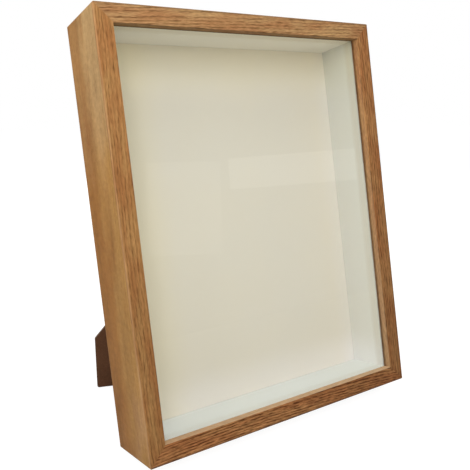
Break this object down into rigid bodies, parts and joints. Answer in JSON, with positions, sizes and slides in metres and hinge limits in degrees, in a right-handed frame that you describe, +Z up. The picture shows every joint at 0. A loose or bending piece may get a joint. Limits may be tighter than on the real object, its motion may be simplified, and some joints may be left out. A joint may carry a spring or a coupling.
{
  "type": "fishing lure display case",
  "caption": "Deep glazed oak box frame with a lined display space, mitred face, turn-button back, ring hangers and a folding diagonal easel strut.",
  "frame": {"origin": "on the floor, in the middle of the bounding box of the leaning case with its strut open", "axes": "+Z up, +X to the viewer's right, +Y to the back; the glass faces -Y and a little upwards"},
  "size_m": [0.235, 0.148, 0.302],
  "materials": {
    "oak": "stained and waxed oak, low sheen",
    "pane": "clear float glass",
    "white_board": "matte white faced board",
    "cream_board": "matte cream faced board",
    "dark_board": "dark brown faced fibreboard, low sheen",
    "zinc_steel": "bright zinc plate",
    "nickel_steel": "nickel plate"
  },
  "bodies": {
    "case": {"stile_left": "oak", "stile_right": "oak", "rail_top": "oak", "rail_bottom": "oak", "corner_v_nails": "zinc_steel", "glass_pane": "pane", "spacer_bottom": "white_board", "spacer_right": "white_board", "spacer_top": "white_board", "spacer_left": "white_board", "display_board": "cream_board", "turn_button_screws": "zinc_steel", "hinge_panel_leaf": "nickel_steel", "hinge_pin": "nickel_steel", "hinge_panel_rivets": "nickel_steel", "hanger_strap_portrait": "nickel_steel", "hanger_rivet_portrait": "nickel_steel", "hanger_strap_landscape": "nickel_steel", "hanger_rivet_landscape": "nickel_steel", "back_panel": "dark_board"},
    "strut": {"strut": "dark_board", "hinge_strut_leaf": "nickel_steel", "hinge_strut_rivets": "nickel_steel"},
    "button_left_upper": {"turn_button_left_upper": "zinc_steel"},
    "button_left_lower": {"turn_button_left_lower": "zinc_steel"},
    "button_right_upper": {"turn_button_right_upper": "zinc_steel"},
    "button_right_lower": {"turn_button_right_lower": "zinc_steel"},
    "button_top": {"turn_button_top": "zinc_steel"},
    "button_bottom": {"turn_button_bottom": "zinc_steel"},
    "ring_portrait": {"hanger_ring_portrait": "nickel_steel"},
    "ring_landscape": {"hanger_ring_landscape": "nickel_steel"}
  },
  "joints": [
    {"name": "strut_fold", "type": "hinge", "parent": "case", "child": "strut", "pos_m": [-0.00031, 0.00903, 0.14356], "axis": [0.7907, -0.1269, -0.599], "range_deg": [-30, 0]},
    {"name": "turn_left_upper", "type": "hinge", "parent": "case", "child": "button_left_upper", "pos_m": [-0.113, 0.02064, 0.20419], "axis": [0, 0.9783, -0.2073], "range_deg": [-90, 90]},
    {"name": "turn_left_lower", "type": "hinge", "parent": "case", "child": "button_left_lower", "pos_m": [-0.113, -0.00423, 0.08679], "axis": [0, 0.9783, -0.2073], "range_deg": [-90, 90]},
    {"name": "turn_right_upper", "type": "hinge", "parent": "case", "child": "button_right_upper", "pos_m": [0.113, 0.02064, 0.20419], "axis": [0, 0.9783, -0.2073], "range_deg": [-90, 90]},
    {"name": "turn_right_lower", "type": "hinge", "parent": "case", "child": "button_right_lower", "pos_m": [0.113, -0.00423, 0.08679], "axis": [0, 0.9783, -0.2073], "range_deg": [-90, 90]},
    {"name": "turn_top", "type": "hinge", "parent": "case", "child": "button_top", "pos_m": [-0.045, 0.03816, 0.28685], "axis": [0, 0.9783, -0.2073], "range_deg": [-90, 90]},
    {"name": "turn_bottom", "type": "hinge", "parent": "case", "child": "button_bottom", "pos_m": [0.045, -0.02174, 0.00413], "axis": [0, 0.9783, -0.2073], "range_deg": [-90, 90]},
    {"name": "ring_swing_portrait", "type": "hinge", "parent": "case", "child": "ring_portrait", "pos_m": [0, 0.03197, 0.2529], "axis": [1, 0, 0], "range_deg": [-5.96, 168.04]},
    {"name": "ring_swing_landscape", "type": "hinge", "parent": "case", "child": "ring_landscape", "pos_m": [0.0785, 0.00917, 0.14529], "axis": [0, -0.2073, -0.9783], "range_deg": [-84, 90]}
  ]
}
